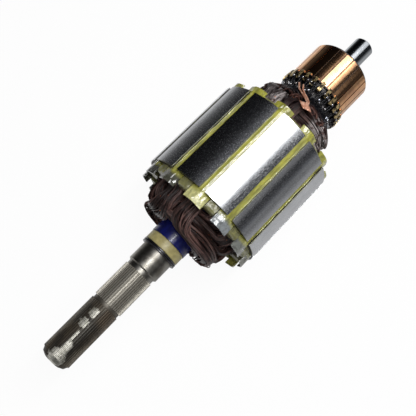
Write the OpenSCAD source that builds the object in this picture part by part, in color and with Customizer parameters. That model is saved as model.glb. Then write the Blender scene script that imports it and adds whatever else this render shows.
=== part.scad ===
// Wound motor armature: shaft, slotted core, twelve coils and a hook commutator.
// X runs along the shaft, drive end at -X, commutator at +X, +Z up.
// The origin is on the shaft axis, at the shoulder the drive-end bearing is pressed against.
// The core rests on two tooth edges, so one slot faces straight down and one straight up.

/* [Shaft] */
// Bearing seat at the drive end, diameter
drive_seat_d = 15; // [14.5:0.1:16]
// Bearing seat at the drive end, length
drive_seat_len = 9.3; // [6:0.1:14]
// Plain relief behind the drive-end seat, diameter
relief_d = 13.2; // [12.5:0.1:14]
// Plain relief behind the drive-end seat, length
relief_len = 2; // [1:0.1:5]
// Fine splined length, diameter over the teeth
fine_spline_d = 14; // [13:0.1:14.5]
// Fine splined length, length
fine_spline_len = 17.7; // [8:0.1:30]
// Groove between the two splined lengths, diameter
groove_d = 12.8; // [11:0.1:13]
// Groove between the two splined lengths, length
groove_len = 1.7; // [0.8:0.1:4]
// Drive spline at the free end, diameter over the teeth
drive_spline_d = 13.7; // [13:0.1:14.5]
// Drive spline at the free end, length with its tapered tip
drive_spline_len = 29.2; // [15:0.1:45]
// Number of teeth of both splines
spline_teeth = 40; // [24:1:48]
// Depth of the spline teeth
spline_depth = 0.35; // [0.2:0.05:0.5]
// Taper at the free end, length along the shaft
tip_taper = 2.6; // [1:0.1:4]
// Shaft inside the insulating sleeve, diameter
core_shaft_d = 13; // [12.5:0.1:14]
// Shaft inside the commutator, diameter
hub_shaft_d = 12; // [11:0.1:12.4]
// Bearing seat at the commutator end, diameter
comm_seat_d = 10; // [8:0.1:10.5]
// Bearing seat at the commutator end, length
comm_seat_len = 17.7; // [8:0.1:25]
// Chamfer of the commutator-end tip
comm_tip_chamfer = 0.8; // [0.3:0.1:1.5]

/* [Rings and sleeve] */
// Shaft under the stop ring and the collar, diameter
ring_seat_d = 14.4; // [13.6:0.1:14.4]
// Stop ring, diameter
stop_ring_d = 17.5; // [16.5:0.1:19]
// Stop ring, length
stop_ring_len = 1.7; // [1.2:0.1:3]
// Groove turned in the rim of the stop ring, width
stop_groove_w = 0.4; // [0.2:0.05:0.6]
// Spacer collar, diameter
collar_d = 17.3; // [16:0.1:19]
// Spacer collar, length
collar_len = 4.5; // [2:0.1:6]
// Insulating sleeve, outer diameter
sleeve_d = 17.8; // [16.5:0.1:18]
// From the bearing shoulder to the near face of the core
core_offset = 26.3; // [25:0.1:32]

/* [Core] */
// Core outer diameter
core_d = 60; // [59:0.1:62]
// Core length
core_len = 46; // [30:0.5:70]
// Width of a tooth body
tooth_w = 5.6; // [5.2:0.1:6.2]
// Width of a slot mouth between two tooth lips
mouth_w = 3.1; // [2.4:0.1:3.4]
// Thickness of a tooth lip at the mouth
lip_t = 1.1; // [0.8:0.1:1.4]
// Radius of the rounded slot floor
slot_floor_r = 1.6; // [1.4:0.05:1.8]

/* [Insulation] */
// End plate thickness against the core
plate_t = 1; // [0.6:0.1:1.4]
// Height of the fingers on the drive-end plate
drive_finger_h = 3.7; // [2:0.1:4.5]
// Height of the fingers on the commutator-end plate
comm_finger_h = 2; // [1.4:0.1:3.5]
// Width of a finger
finger_w = 5; // [4:0.1:5.2]
// Rounding of the finger ends
finger_round = 1; // [0.4:0.1:1.2]
// Slot liner sheet thickness
liner_t = 0.3; // [0.2:0.05:0.4]
// Slot wedge sheet thickness
wedge_t = 0.5; // [0.3:0.05:0.7]
// Wedge overhang at the drive end
drive_flap = 6; // [4:0.1:8]
// Wedge overhang at the commutator end
comm_flap = 3.5; // [2.5:0.1:6]
// Gap between the side of a standing flap and the finger beside it
flap_side_gap = 0.2; // [0.15:0.05:0.5]

/* [Winding] */
// Height of the winding over the drive end of the core
drive_overhang = 15.8; // [14:0.1:17]
// Height of the winding over the commutator end of the core
comm_overhang = 15.8; // [14:0.1:18]
// Width of a coil bundle where it crosses the end
bundle_w = 6.8; // [5:0.1:6.8]
// Width of the last two bundles where they cross the end
top_bundle_w = 8.6; // [6.8:0.1:9.4]
// Width of a coil bundle where it rises from the slot
riser_w = 6.2; // [4.4:0.1:6.2]
// Gap between two coil bundles that cross
bundle_gap = 0.1; // [0.05:0.05:0.3]
// Diameter of the bound leads between winding and commutator
neck_d = 28.2; // [27:0.1:28.6]
// Diameter of a lead wire
lead_d = 0.8; // [0.6:0.05:0.85]

/* [Commutator] */
// Commutator diameter over the brush track
comm_d = 30.1; // [29.9:0.1:31]
// Length of the brush track
track_len = 19.2; // [12:0.1:26]
// From the far face of the core to the brush track
comm_offset = 28.7; // [28:0.1:34]
// Inner diameter of the copper bars
bar_root_d = 21.2; // [19:0.1:24]
// Gap between two bars at the brush track
bar_gap = 0.5; // [0.4:0.05:0.8]
// Depth of the gap below the brush track
bar_gap_depth = 0.7; // [0.4:0.05:0.8]
// Width of a hook
hook_w = 1.6; // [1.2:0.1:1.7]
// Thickness of a hook
hook_t = 1.1; // [0.8:0.05:1.3]
// Outer diameter of the bush in the hub
bush_d = 15; // [13.5:0.1:17]
// Rim of the hub beyond the bars, length
hub_rim = 0.7; // [0.4:0.1:1.5]

/* [Hidden] */
slots = 12;
bars = 24;
throw = 5;
pitch_angle = 360 / slots;
bar_angle = 360 / bars;
half_throw = throw * pitch_angle / 2;
layers = slots / 2;
fit = 0.05;
core_end = core_offset + core_len;
track_x = core_end + comm_offset;
track_end = track_x + track_len;
hub_end = track_end + hub_rim;
hook_run = 4;
nose_len = 4.4;
hook_x = track_x - hook_run;
hub_start = hook_x - nose_len;
sleeve_start = stop_ring_len + collar_len;
sleeve_end = hub_start;
shaft_end = hub_end + comm_seat_len;
mouth_r = core_d / 2 - lip_t;
roof_slope = 0.72;
liner_gap = 0.03;
coil_gap = 0.08;
finger_inset = 2;
finger_r = core_d / 2 - finger_inset;
liner_drop = 2.7;
floor_fill = 0.7;
roof_clear = 3.6;
side_gap = 0.2;
low_share = 5 / 9;
slot_low = floor_centre(tooth_w / 2) - slot_floor_r + floor_fill;
slot_high = mouth_r - roof_clear;
slot_fill = slot_high - slot_low - side_gap;
low_h = low_share * slot_fill;
high_h = slot_fill - low_h;
low_r = slot_low + low_h / 2;
high_r = slot_high - high_h / 2;
riser_inset = 0.3;
riser_half_t = 1.1;
finger_gap = 0.2;
riser_step = 2.6;
low_riser_r = low_r - riser_inset;
high_riser_r = low_riser_r + riser_step;
finger_inner_r = high_riser_r + riser_half_t + finger_gap;
facets_true = 96;

function numbered(name, k) = str(name, k < 10 ? "_0" : "_", k);

// A profile of [radius, x] points turned about the shaft axis.
module turned(profile, angle = 360) {
  rotate([90, 0, 90])
    rotate_extrude(angle = angle, $fn = facets_true)
      polygon(profile);
}

// A section drawn as [sideways, up] and drawn out along the shaft from x.
module along_shaft(x, length) {
  translate([x, 0, 0])
    rotate([90, 0, 90])
      linear_extrude(height = length)
        children();
}

// A tube about the shaft axis.
module tube(x0, x1, inner_d, outer_d) {
  turned([[inner_d / 2, x0], [outer_d / 2, x0], [outer_d / 2, x1], [inner_d / 2, x1]]);
}

// ---- Shaft: turned steel, the two splines rolled into it ----
function spline_points(d) = [
  for (i = [0:spline_teeth - 1], s = [[-0.3, 0], [-0.16, 1], [0.16, 1], [0.3, 0]])
    let (a = 360 * (i + s[0]) / spline_teeth, r = d / 2 - spline_depth * (1 - s[1]))
      [r * cos(a), r * sin(a)]
];

module shaft() {
  fine_end = -drive_seat_len - relief_len;
  groove_end = fine_end - fine_spline_len;
  spline_end = groove_end - groove_len;
  tip = spline_end - drive_spline_len;
  spline_root_r = drive_spline_d / 2 - spline_depth;
  tip_round = tip_taper / 3;
  step_x = hub_start - 0.1;
  seat_chamfer = 0.5;
  color([0.62, 0.61, 0.58]) {
    turned([
      [0, tip],
      [spline_root_r - tip_taper, tip],
      [spline_root_r - tip_round, tip + tip_round],
      [spline_root_r, tip + tip_taper],
      [spline_root_r, spline_end],
      [groove_d / 2, spline_end],
      [groove_d / 2, groove_end],
      [fine_spline_d / 2 - spline_depth, groove_end],
      [fine_spline_d / 2 - spline_depth, fine_end],
      [relief_d / 2, fine_end],
      [relief_d / 2, -drive_seat_len],
      [drive_seat_d / 2 - seat_chamfer, -drive_seat_len],
      [drive_seat_d / 2, seat_chamfer - drive_seat_len],
      [drive_seat_d / 2, 0],
      [ring_seat_d / 2, 0],
      [ring_seat_d / 2, sleeve_start],
      [core_shaft_d / 2, sleeve_start],
      [core_shaft_d / 2, step_x],
      [hub_shaft_d / 2, step_x],
      [hub_shaft_d / 2, hub_end],
      [comm_seat_d / 2, hub_end],
      [comm_seat_d / 2, shaft_end - comm_tip_chamfer],
      [comm_seat_d / 2 - comm_tip_chamfer, shaft_end],
      [0, shaft_end]
    ]);
    along_shaft(groove_end, fine_spline_len)
      polygon(spline_points(fine_spline_d));
    along_shaft(tip + tip_taper, drive_spline_len - tip_taper)
      polygon(spline_points(drive_spline_d));
  }
}

// ---- Stop ring: hardened ring, its rim turned with one fine groove ----
module stop_ring() {
  groove_depth = 0.4;
  r = stop_ring_d / 2;
  edge = 0.15;
  mid = stop_ring_len / 2;
  color([0.06, 0.06, 0.07])
    turned([
      [ring_seat_d / 2, 0],
      [r - edge, 0],
      [r, edge],
      [r, mid - stop_groove_w / 2],
      [r - groove_depth, mid],
      [r, mid + stop_groove_w / 2],
      [r, stop_ring_len - edge],
      [r - edge, stop_ring_len],
      [ring_seat_d / 2, stop_ring_len]
    ]);
}

// ---- Spacer collar: moulded plastic, between the stop ring and the sleeve ----
module spacer_collar() {
  r = collar_d / 2;
  edge = 0.3;
  color([0.69, 0.65, 0.42])
    turned([
      [ring_seat_d / 2, stop_ring_len],
      [r - edge, stop_ring_len],
      [r, stop_ring_len + edge],
      [r, sleeve_start - edge],
      [r - edge, sleeve_start],
      [ring_seat_d / 2, sleeve_start]
    ]);
}

// ---- Insulating sleeve: tube pressed on the shaft, under the core and the winding ----
module shaft_sleeve() {
  color([0.1, 0.12, 0.45])
    tube(sleeve_start, sleeve_end, core_shaft_d, sleeve_d);
}

// ---- Core: stamped sheets, twelve semi-closed slots with parallel teeth ----
// Half the width between two parallel-sided bodies of half width h, at height y in the slot.
function half_gap(y, h) = y * tan(pitch_angle / 2) - h / cos(pitch_angle / 2);

// Height of the centre of the round slot floor between bodies of half width h.
function floor_centre(h) = (slot_floor_r + h) / sin(pitch_angle / 2);

// Where the flank of the slot meets the sloping underside of the lip.
function shoulder_half_w(roof_y, half_tooth) =
  half_gap(roof_y + roof_slope * mouth_w / 2, half_tooth)
  / (1 + roof_slope * tan(pitch_angle / 2));

// Slot outline on the +Y side of the drawing plane, drawn inwards by inset.
module slot_outline(inset, top = 0) {
  half_tooth = tooth_w / 2 + inset;
  floor_r = slot_floor_r - inset;
  floor_y = floor_centre(tooth_w / 2);
  low_y = floor_y - floor_r * sin(pitch_angle / 2);
  low_x = half_gap(low_y, half_tooth);
  roof_y0 = mouth_r - inset / cos(atan(roof_slope));
  shoulder_x = shoulder_half_w(roof_y0, half_tooth);
  shoulder_y = roof_y0 + roof_slope * (mouth_w / 2 - shoulder_x);
  mouth_x = mouth_w / 2 - inset;
  mouth_y = roof_y0 + roof_slope * inset;
  polygon([
    [low_x, low_y],
    [shoulder_x, shoulder_y],
    [mouth_x, mouth_y],
    [mouth_x, mouth_y + top],
    [-mouth_x, mouth_y + top],
    [-mouth_x, mouth_y],
    [-shoulder_x, shoulder_y],
    [-low_x, low_y]
  ]);
  translate([0, floor_y])
    circle(r = floor_r, $fn = facets_true);
}

module lamination_stack() {
  color([0.55, 0.56, 0.58])
    along_shaft(core_offset, core_len)
      difference() {
        circle(d = core_d, $fn = 2 * facets_true);
        circle(d = sleeve_d, $fn = facets_true);
        for (k = [0:slots - 1])
          rotate(k * pitch_angle)
            slot_outline(0, top = 3);
      }
}

// ---- End plates: moulded spiders, a finger over the end of each tooth ----
module open_slot(half_finger) {
  floor_y = floor_centre(half_finger);
  low_y = floor_y - slot_floor_r * sin(pitch_angle / 2);
  low_x = slot_floor_r * cos(pitch_angle / 2);
  high_y = core_d / 2;
  high_x = half_gap(high_y, half_finger);
  polygon([[low_x, low_y], [high_x, high_y], [-high_x, high_y], [-low_x, low_y]]);
  translate([0, floor_y])
    circle(r = slot_floor_r, $fn = facets_true);
}

module plate_section() {
  difference() {
    circle(r = finger_r, $fn = facets_true);
    circle(d = sleeve_d, $fn = facets_true);
    for (k = [0:slots - 1])
      rotate(k * pitch_angle)
        open_slot(finger_w / 2);
  }
}

// Side view of half a plate: thin at the middle, thick over the fingers, which start
// just outside the coils that rise beside them.
function plate_profile(finger_h) = [
  [0, 0],
  [finger_r, 0],
  [finger_r, finger_h - finger_round],
  [finger_r - 0.3 * finger_round, finger_h - 0.3 * finger_round],
  [finger_r - finger_round, finger_h],
  [finger_inner_r + finger_round, finger_h],
  [finger_inner_r, finger_h - finger_round],
  [finger_inner_r, plate_t],
  [0, plate_t]
];

module end_plate(finger_h) {
  color([0.52, 0.53, 0.3])
    intersection() {
      turned(plate_profile(finger_h));
      along_shaft(0, finger_h)
        plate_section();
    }
}

module drive_end_plate() {
  translate([core_offset, 0, 0])
    mirror([1, 0, 0])
      end_plate(drive_finger_h);
}

module commutator_end_plate() {
  translate([core_end, 0, 0])
    end_plate(comm_finger_h);
}

// ---- Slot liners: folded sheet along the walls and floor of every slot ----
module liner_section() {
  difference() {
    slot_outline(liner_gap);
    slot_outline(liner_gap + liner_t);
    translate([-core_d / 2, mouth_r - liner_drop])
      square([core_d, core_d]);
  }
}

module slot_liners() {
  color([0.62, 0.6, 0.3])
    for (k = [0:slots - 1])
      rotate([k * pitch_angle, 0, 0])
        along_shaft(core_offset - plate_t, core_len + 2 * plate_t)
          liner_section();
}

// ---- Slot wedges: folded strips that close the mouths and stand out at both ends ----
function roof(half_w, peak, knee_x, knee_y, slope) =
  let (edge_y = knee_y - slope * (half_w - knee_x), drop = wedge_t * sqrt(1 + slope * slope))
    [
      [half_w, edge_y],
      [knee_x, knee_y],
      [0, peak],
      [-knee_x, knee_y],
      [-half_w, edge_y],
      [-half_w, edge_y - drop],
      [-knee_x, knee_y - drop],
      [0, peak - wedge_t],
      [knee_x, knee_y - drop],
      [half_w, edge_y - drop]
    ];

module slot_wedge(k) {
  knee_x = mouth_w / 2 - fit;
  knee_y = mouth_r - fit;
  wedge_side_gap = 0.4;
  in_slot_half_w = shoulder_half_w(mouth_r, tooth_w / 2) - wedge_side_gap;
  ridge = 0.2;
  flap_lift = 0.15;
  flap_slope = 0.45;
  flap_drop = 1.9;
  flap_half_w = half_gap(mouth_r - flap_drop, finger_w / 2) - flap_side_gap;
  color([0.66, 0.67, 0.16])
    rotate([k * pitch_angle, 0, 0]) {
      along_shaft(core_offset, core_len)
        polygon(roof(in_slot_half_w, knee_y + ridge, knee_x, knee_y, roof_slope));
      for (end = [[core_offset - drive_flap, drive_flap], [core_end, comm_flap]])
        along_shaft(end[0], end[1])
          polygon(roof(
            flap_half_w,
            knee_y + ridge + flap_lift,
            knee_x,
            knee_y + flap_lift,
            flap_slope
          ));
    }
}

// ---- Coils: closed bundles of wire, wound in pairs, each pair over the one before ----
// Every coil lies in two slots five apart. A pair crosses the end on both sides of the
// shaft in a layer of its own; early coils lie at the slot floor, late ones on top.
low_bend = 1.9;
high_bend = 4.2;
first_bend = 1;
bend_growth = 1.2;
bend_margin = 0.2;
sleeve_gap = 0.75;
spread = 3;
first_gap = 0.35;
top_extra = 0.6;
top_layers = 2;
first_slot = 7;
chord_steps = 4;
bend_steps = 3;
ring_points = 10;

function smooth(t) = t <= 0 ? 0 : t >= 1 ? 1 : t * t * (3 - 2 * t);
function blend(a, b, t) = a + (b - a) * t;
function slot_width_at(r) =
  2 * half_gap(r, tooth_w / 2 + liner_t + liner_gap + coil_gap);

// One half of an end turn, from the foot beside the shaft (first) to the slot (last).
// A station is [p, q, out, turn, lean, width, height, taper].
function half_turn(high, overhang, layer) =
  let (
    above = max(0, layer - (layers - top_layers)),
    top = layer >= layers - top_layers,
    pitch = (overhang - plate_t - first_gap) / (layers + top_layers * top_extra),
    riser_t = pitch - bundle_gap,
    thick = top ? riser_t + top_extra * pitch : riser_t,
    width = layer == layers - 1 ? top_bundle_w : bundle_w,
    out = plate_t + first_gap + (layer + above * top_extra) * pitch + bundle_gap / 2 + thick / 2,
    slot_r = high ? high_r : low_r,
    riser_r = high ? blend(slot_r, high_riser_r, min(1, 0.5 * layer)) : low_riser_r,
    full_bend = high ? min(high_bend, bend_growth * layer + first_bend) : low_bend,
    bend = min(full_bend, out - plate_t - bend_margin),
    riser_p = riser_r * sin(half_throw),
    riser_q = riser_r * cos(half_throw),
    slot_w = slot_width_at(slot_r),
    slot_h = high ? high_h : low_h,
    taper = tan(pitch_angle / 2) * slot_h / slot_w,
    reach = sleeve_d / 2 + sleeve_gap + width / 2 - riser_q,
    chord_q = function(p) riser_q + reach * (1 + cos(180 * p / riser_p)) / 2,
    chord_lean = function(p) atan(-reach * PI / 2 / riser_p * sin(180 * p / riser_p)),
    // how far the section has changed from the slot shape to the crossing shape
    opened = function(p, x) smooth((x - plate_t + abs(riser_p - p)) / spread)
  )
    concat(
      [for (i = [0:chord_steps - 1])
        let (p = (riser_p - bend) * i / chord_steps)
          [p, chord_q(p), out, 0, chord_lean(p), width, thick, 0]],
      [for (i = [0:bend_steps])
        let (
          a = 90 * i / bend_steps,
          p = riser_p - bend + bend * sin(a),
          x = out - bend + bend * cos(a),
          f = opened(p, x)
        )
          [p, chord_q(p), x, a, blend(chord_lean(p), 90 - half_throw, a / 90),
            blend(slot_w, blend(width, riser_w, a / 90), f),
            blend(slot_h, blend(thick, riser_t, a / 90), f),
            taper * (1 - f)]],
      [for (i = [1:2])
        let (
          x = blend(out - bend, plate_t, i / 2),
          f = i == 2 ? 0 : opened(riser_p, x),
          r = blend(slot_r, riser_r, f)
        )
          [r * sin(half_throw), r * cos(half_throw), x, 90, 90 - half_throw,
            blend(slot_w, riser_w, f), blend(slot_h, riser_t, f), taper * (1 - f)]]
    );

function section_point(i) =
  let (a = 360 * (i + 0.5) / ring_points, c = cos(a), s = sin(a))
    [sign(c) * pow(abs(c), 0.7), sign(s) * pow(abs(s), 0.7)];

// The ring of points round one station; side is -1 or 1, face_x and facing place the end.
function ring(st, side, face_x, facing) =
  let (
    p = side * st[0],
    e1 = [-side * sin(st[4]), cos(st[4])],
    out_dir = [side * cos(st[4]), sin(st[4])],
    ca = cos(st[3]),
    sa = sin(st[3])
  )
    [for (i = [0:ring_points - 1])
      let (
        c = section_point(i),
        u = c[0] * st[5] / 2 * (1 + st[7] * c[1]),
        v = c[1] * st[6] / 2
      )
        [
          face_x + facing * (st[2] + v * ca),
          p + u * e1[0] + v * sa * out_dir[0],
          st[1] + u * e1[1] + v * sa * out_dir[1]
        ]];

function reversed(list) = [for (i = [len(list) - 1:-1:0]) list[i]];

function end_turn(layer, overhang, face_x, facing) =
  let (
    start = half_turn(layer == layers - 1, overhang, layer),
    finish = half_turn(layer > 0, overhang, layer),
    last = len(start) - 1
  )
    concat(
      [for (i = [last:-1:1]) ring(start[i], -1, face_x, facing)],
      [for (i = [0:last]) ring(finish[i], 1, face_x, facing)]
    );

module coil(k) {
  layer = k % layers;
  drive = end_turn(layer, drive_overhang, core_offset, -1);
  far = reversed(end_turn(layer, comm_overhang, core_end, 1));
  rings = concat(drive, far);
  count = len(rings);
  points = [for (r = rings, pt = r) pt];
  faces = [
    for (i = [0:count - 1], j = [0:ring_points - 1])
      let (
        a = i * ring_points,
        b = ((i + 1) % count) * ring_points,
        n = (j + 1) % ring_points
      )
        each [[a + j, b + j, b + n], [a + j, b + n, a + n]]
  ];
  color([0.24, 0.15, 0.13])
    rotate([(k + first_slot) * pitch_angle + half_throw, 0, 0])
      mirror([0, 1, 0])
        polyhedron(points = points, faces = faces, convexity = 8);
}

// ---- Lead wrap: the coil ends bound round the sleeve before the commutator ----
module lead_wrap() {
  x0 = core_end + comm_overhang + fit;
  x1 = hub_start;
  r = neck_d / 2;
  edge = 0.6;
  color([0.1, 0.08, 0.08])
    turned([
      [sleeve_d / 2, x0],
      [r - edge, x0],
      [r, x0 + edge],
      [r, x1 - edge],
      [r - edge, x1],
      [sleeve_d / 2, x1]
    ]);
}

// ---- Coil leads: a wire loop round the stem of every commutator hook ----
bar_low_r = 14.2;
lead_r = bar_low_r + lead_d / 2 + fit / 2;
hook_under_r = lead_r + lead_d / 2 + fit / 2;

module coil_leads() {
  half_loop = hook_w / 2 + lead_d / 2 + fit;
  stem_end = hook_x + hook_t;
  foot_radius = neck_d / 2 - lead_d;
  run = stem_end - hub_start;
  fall = atan((lead_r - foot_radius) / run);
  color([0.12, 0.1, 0.1])
    for (k = [0:bars - 1])
      rotate([(k + 0.5) * bar_angle, 0, 0]) {
        translate([stem_end, 0, lead_r])
          rotate([0, 0, -90])
            rotate_extrude(angle = 180, $fn = 48)
              translate([half_loop, 0])
                circle(d = lead_d, $fn = 24);
        for (side = [-1, 1])
          translate([stem_end, side * half_loop, lead_r])
            rotate([0, -90 - fall, 0])
              cylinder(h = (run - 0.1) / cos(fall), d = lead_d, $fn = 24);
      }
}

// ---- Commutator hub: black moulding, a nose under the leads and fins between the bars ----
module commutator_hub() {
  bar_half_angle = bar_angle / 2 - asin(bar_gap / comm_d);
  fin_angle = bar_angle - 2 * bar_half_angle;
  fin_top = comm_d / 2 - bar_gap_depth;
  nose_r = neck_d / 2 - 1.6 * lead_d;
  rim_r = comm_d / 2 - 0.5;
  rim_edge = 0.3;
  color([0.05, 0.05, 0.05]) {
    turned([
      [bush_d / 2, hub_start],
      [nose_r - 0.5, hub_start],
      [nose_r, hub_start + 0.5],
      [nose_r, hook_x],
      [bar_root_d / 2, hook_x],
      [bar_root_d / 2, track_end],
      [rim_r, track_end],
      [rim_r, hub_end - rim_edge],
      [rim_r - rim_edge, hub_end],
      [bush_d / 2, hub_end]
    ]);
    for (k = [0:bars - 1])
      rotate([k * bar_angle + 90 - fin_angle / 2, 0, 0])
        turned([
          [bar_root_d / 2 - fit, hook_x - 0.3],
          [nose_r - 0.2, hook_x - 0.3],
          [bar_low_r - 0.8, hook_x + 0.3],
          [bar_low_r - 0.2, hook_x + hook_t + 0.4],
          [bar_low_r - 0.2, track_x],
          [fin_top, track_x],
          [fin_top, track_end],
          [bar_root_d / 2 - fit, track_end]
        ], fin_angle);
  }
}

// ---- Commutator bush: steel tube moulded into the hub, pressed on the shaft ----
module commutator_bush() {
  color([0.5, 0.5, 0.5])
    tube(hub_start, hub_end, hub_shaft_d, bush_d);
}

// ---- Commutator bars: drawn copper wedges, a hook bent from the end of each ----
module commutator_bar(k) {
  bar_half_angle = bar_angle / 2 - asin(bar_gap / comm_d);
  track_r = comm_d / 2;
  edge = 0.3;
  tongue_end = track_x + 1;
  hook_top = hook_under_r + hook_t;
  color([0.72, 0.45, 0.3])
    rotate([(k + 0.5) * bar_angle, 0, 0]) {
      rotate([90 - bar_half_angle, 0, 0])
        turned([
          [bar_root_d / 2, hook_x],
          [bar_low_r - 0.5, hook_x],
          [bar_low_r, hook_x + hook_t + 0.3],
          [bar_low_r, track_x - 0.4],
          [track_r, track_x],
          [track_r, track_end - edge],
          [track_r - edge, track_end],
          [bar_root_d / 2, track_end]
        ], 2 * bar_half_angle);
      rotate([90, 0, 0])
        linear_extrude(height = hook_w, center = true)
          polygon([
            [hook_x, bar_low_r - 1],
            [hook_x + hook_t, bar_low_r - 1],
            [hook_x + hook_t, hook_under_r],
            [tongue_end, hook_under_r],
            [tongue_end + 0.3, hook_under_r + 0.3],
            [tongue_end - 0.4, hook_top - 0.3],
            [hook_x + hook_t + 0.5, hook_top],
            [hook_x + 0.5, hook_top - 0.2],
            [hook_x, hook_top - 0.7]
          ]);
    }
}

shaft();
stop_ring();
spacer_collar();
shaft_sleeve();
lamination_stack();
drive_end_plate();
commutator_end_plate();
slot_liners();
for (k = [1:slots])
  slot_wedge(k - 1);
for (k = [1:slots])
  coil(k - 1);
lead_wrap();
coil_leads();
commutator_hub();
commutator_bush();
for (k = [1:bars])
  commutator_bar(k - 1);
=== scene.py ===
import math
import random

import bmesh
import bpy
from mathutils import Euler, Matrix, Vector


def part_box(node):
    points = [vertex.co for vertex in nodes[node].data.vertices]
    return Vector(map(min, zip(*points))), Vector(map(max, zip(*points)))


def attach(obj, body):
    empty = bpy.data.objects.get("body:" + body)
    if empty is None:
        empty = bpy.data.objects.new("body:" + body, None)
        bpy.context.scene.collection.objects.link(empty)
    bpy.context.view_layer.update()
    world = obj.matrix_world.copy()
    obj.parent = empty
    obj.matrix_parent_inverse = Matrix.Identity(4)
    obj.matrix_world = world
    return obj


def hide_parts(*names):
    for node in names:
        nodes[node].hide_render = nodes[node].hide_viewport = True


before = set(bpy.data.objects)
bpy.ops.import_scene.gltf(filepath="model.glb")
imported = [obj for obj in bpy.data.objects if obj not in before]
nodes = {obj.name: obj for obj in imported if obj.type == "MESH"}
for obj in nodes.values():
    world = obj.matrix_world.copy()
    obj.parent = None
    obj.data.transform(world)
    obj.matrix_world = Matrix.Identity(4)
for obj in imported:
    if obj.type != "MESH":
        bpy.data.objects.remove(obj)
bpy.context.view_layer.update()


# ---- Camera ----
# It looks steeply down on the armature, which lies across a pale table with its splined
# end towards the near left corner.
camera = bpy.data.objects.new("camera", bpy.data.cameras.new("camera"))
camera.data.lens = 52.4
camera.data.sensor_width = 36
camera.location = (-0.02935, -0.04602, 0.25042)
camera.rotation_euler = Euler([math.radians(angle) for angle in (16.320, -1.799, -46.681)])
bpy.context.scene.collection.objects.link(camera)
bpy.context.scene.camera = camera


# ---- Table and light ----
# A white sheet of board lies under the armature and keeps its soft shadow. A broad softbox
# with a bright tube in it hangs over them, and three cards fill in from the sides.
# Steel mirrors the board in shaded bands; board and room are white where looked at directly.
table_reach = 9.0
table_middle = 0.04
table_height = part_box("lamination_stack")[0][2]
board_white = (0.97, 0.97, 0.97, 1)
board_glow = 0.94
# How bright the board is in polished steel, from the near side of its middle metre on
board_near, board_far = (0.16, 0.16, 0.155), (0.05, 0.05, 0.048)
board_bands = [
    (0.32, 0.42),
    (0.42, 0.60),
    (0.48, 0.52),
    (0.53, 0.88),
    (0.57, 0.95),
    (0.62, 0.34),
    (0.68, 0.10),
]
# The same for the room, from the table's level up to overhead
room_low, room_dim = (0.40, 0.40, 0.39), (0.020, 0.022, 0.027)
room_bands_below = [(0.06, 0.20), (0.16, 0.05), (0.3, 0.02)]
room_bands_above = [(0.80, 0.05), (0.90, 0.15), (0.985, 0.30)]
# Each lamp's place, tilt in degrees, size and power
lamps = [
    ("softbox", (0.150, -0.088, 0.48), (11, 0, 0), (0.56, 0.31), 1.35),
    ("softbox_tube", (0.150, -0.085, 0.475), (10, 0, 0), (0.44, 0.02), 0.95),
    ("wall_card", (0.120, -0.46, 0.29), (58, 0, 0), (0.60, 0.14), 0.07),
    ("end_card", (0.40, -0.09, 0.47), (11, 0, 0), (0.22, 0.48), 0.38),
    ("fill_card", (-0.45, 0.20, 0.25), (-38, -52, 0), (0.25, 0.25), 0.30),
]


def new_finish(name):
    """A new material and its node tree."""
    finish = bpy.data.materials.new(name)
    finish.use_nodes = True
    return finish, finish.node_tree


def put(tree, value, socket):
    """Joins a socket to another, or sets it where the value is a number or a colour."""
    if isinstance(value, bpy.types.NodeSocket):
        tree.links.new(value, socket)
    else:
        socket.default_value = value


def surface(tree, levels):
    """Gives the Principled shader its patterns, and the levels that are even all over."""
    for name, value in levels.items():
        put(tree, value, tree.nodes["Principled BSDF"].inputs[name])


def add(tree, kind, inputs, **settings):
    """A node of that kind, with its settings and the values or sockets for its inputs."""
    made = tree.nodes.new(kind)
    for key, value in settings.items():
        setattr(made, key, value)
    for key, value in inputs.items():
        put(tree, value, made.inputs[key])
    return made


def place_on_piece(tree):
    """Where a point lies, in metres from the shaft's shoulder."""
    return add(tree, "ShaderNodeTexCoord", {}).outputs["Object"]


def calc(tree, operation, *values, clamp=False):
    """A Math node on numbers and sockets."""
    return add(
        tree, "ShaderNodeMath", dict(enumerate(values)), operation=operation, use_clamp=clamp
    ).outputs[0]


def ramp(tree, value, stops, change="LINEAR"):
    """Colours along a value, each stop its place and its colour."""
    made = add(tree, "ShaderNodeValToRGB", {0: value})
    made.color_ramp.interpolation = change
    elements = made.color_ramp.elements
    for element, (place, colour) in zip(elements[:], (stops[0], stops[-1])):
        element.position = place
        element.color = (*colour, 1)
    for place, colour in stops[1:-1]:
        elements.new(place).color = (*colour, 1)
    return made.outputs[0]


table_mesh = bmesh.new()
bmesh.ops.create_grid(
    table_mesh,
    x_segments=1,
    y_segments=1,
    size=table_reach,
    matrix=Matrix.Translation((table_middle, 0, table_height)),
)
table_data = bpy.data.meshes.new("table")
table_mesh.to_mesh(table_data)
table_mesh.free()
table = bpy.data.objects.new("table", table_data)
bpy.context.scene.collection.objects.link(table)

table_finish, tree = new_finish("table_white")
surface(tree, {"Base Color": board_white, "Roughness": 0.9})
ray = add(tree, "ShaderNodeLightPath", {}).outputs
seen = calc(tree, "ADD", ray["Is Camera Ray"], ray["Is Glossy Ray"])
seen = calc(tree, "ADD", seen, ray["Is Transmission Ray"])
share = calc(tree, "MULTIPLY", seen, board_glow, clamp=True)
spot = add(tree, "ShaderNodeSeparateXYZ", {0: place_on_piece(tree)}).outputs
bands = [(place, (level, level * 0.985, level * 0.94)) for place, level in board_bands]
bands = [(0.0, board_near), *bands, (1.0, board_far)]
mirrored = ramp(tree, calc(tree, "ADD", spot["Y"], 0.5), bands)
strength = calc(tree, "MAXIMUM", ray["Is Camera Ray"], mirrored)
glow = add(tree, "ShaderNodeEmission", {"Color": (1, 1, 1, 1), "Strength": strength})
shaded = tree.nodes["Principled BSDF"].outputs[0]
board = add(tree, "ShaderNodeMixShader", {0: share, 1: shaded, 2: glow.outputs[0]})
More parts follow.
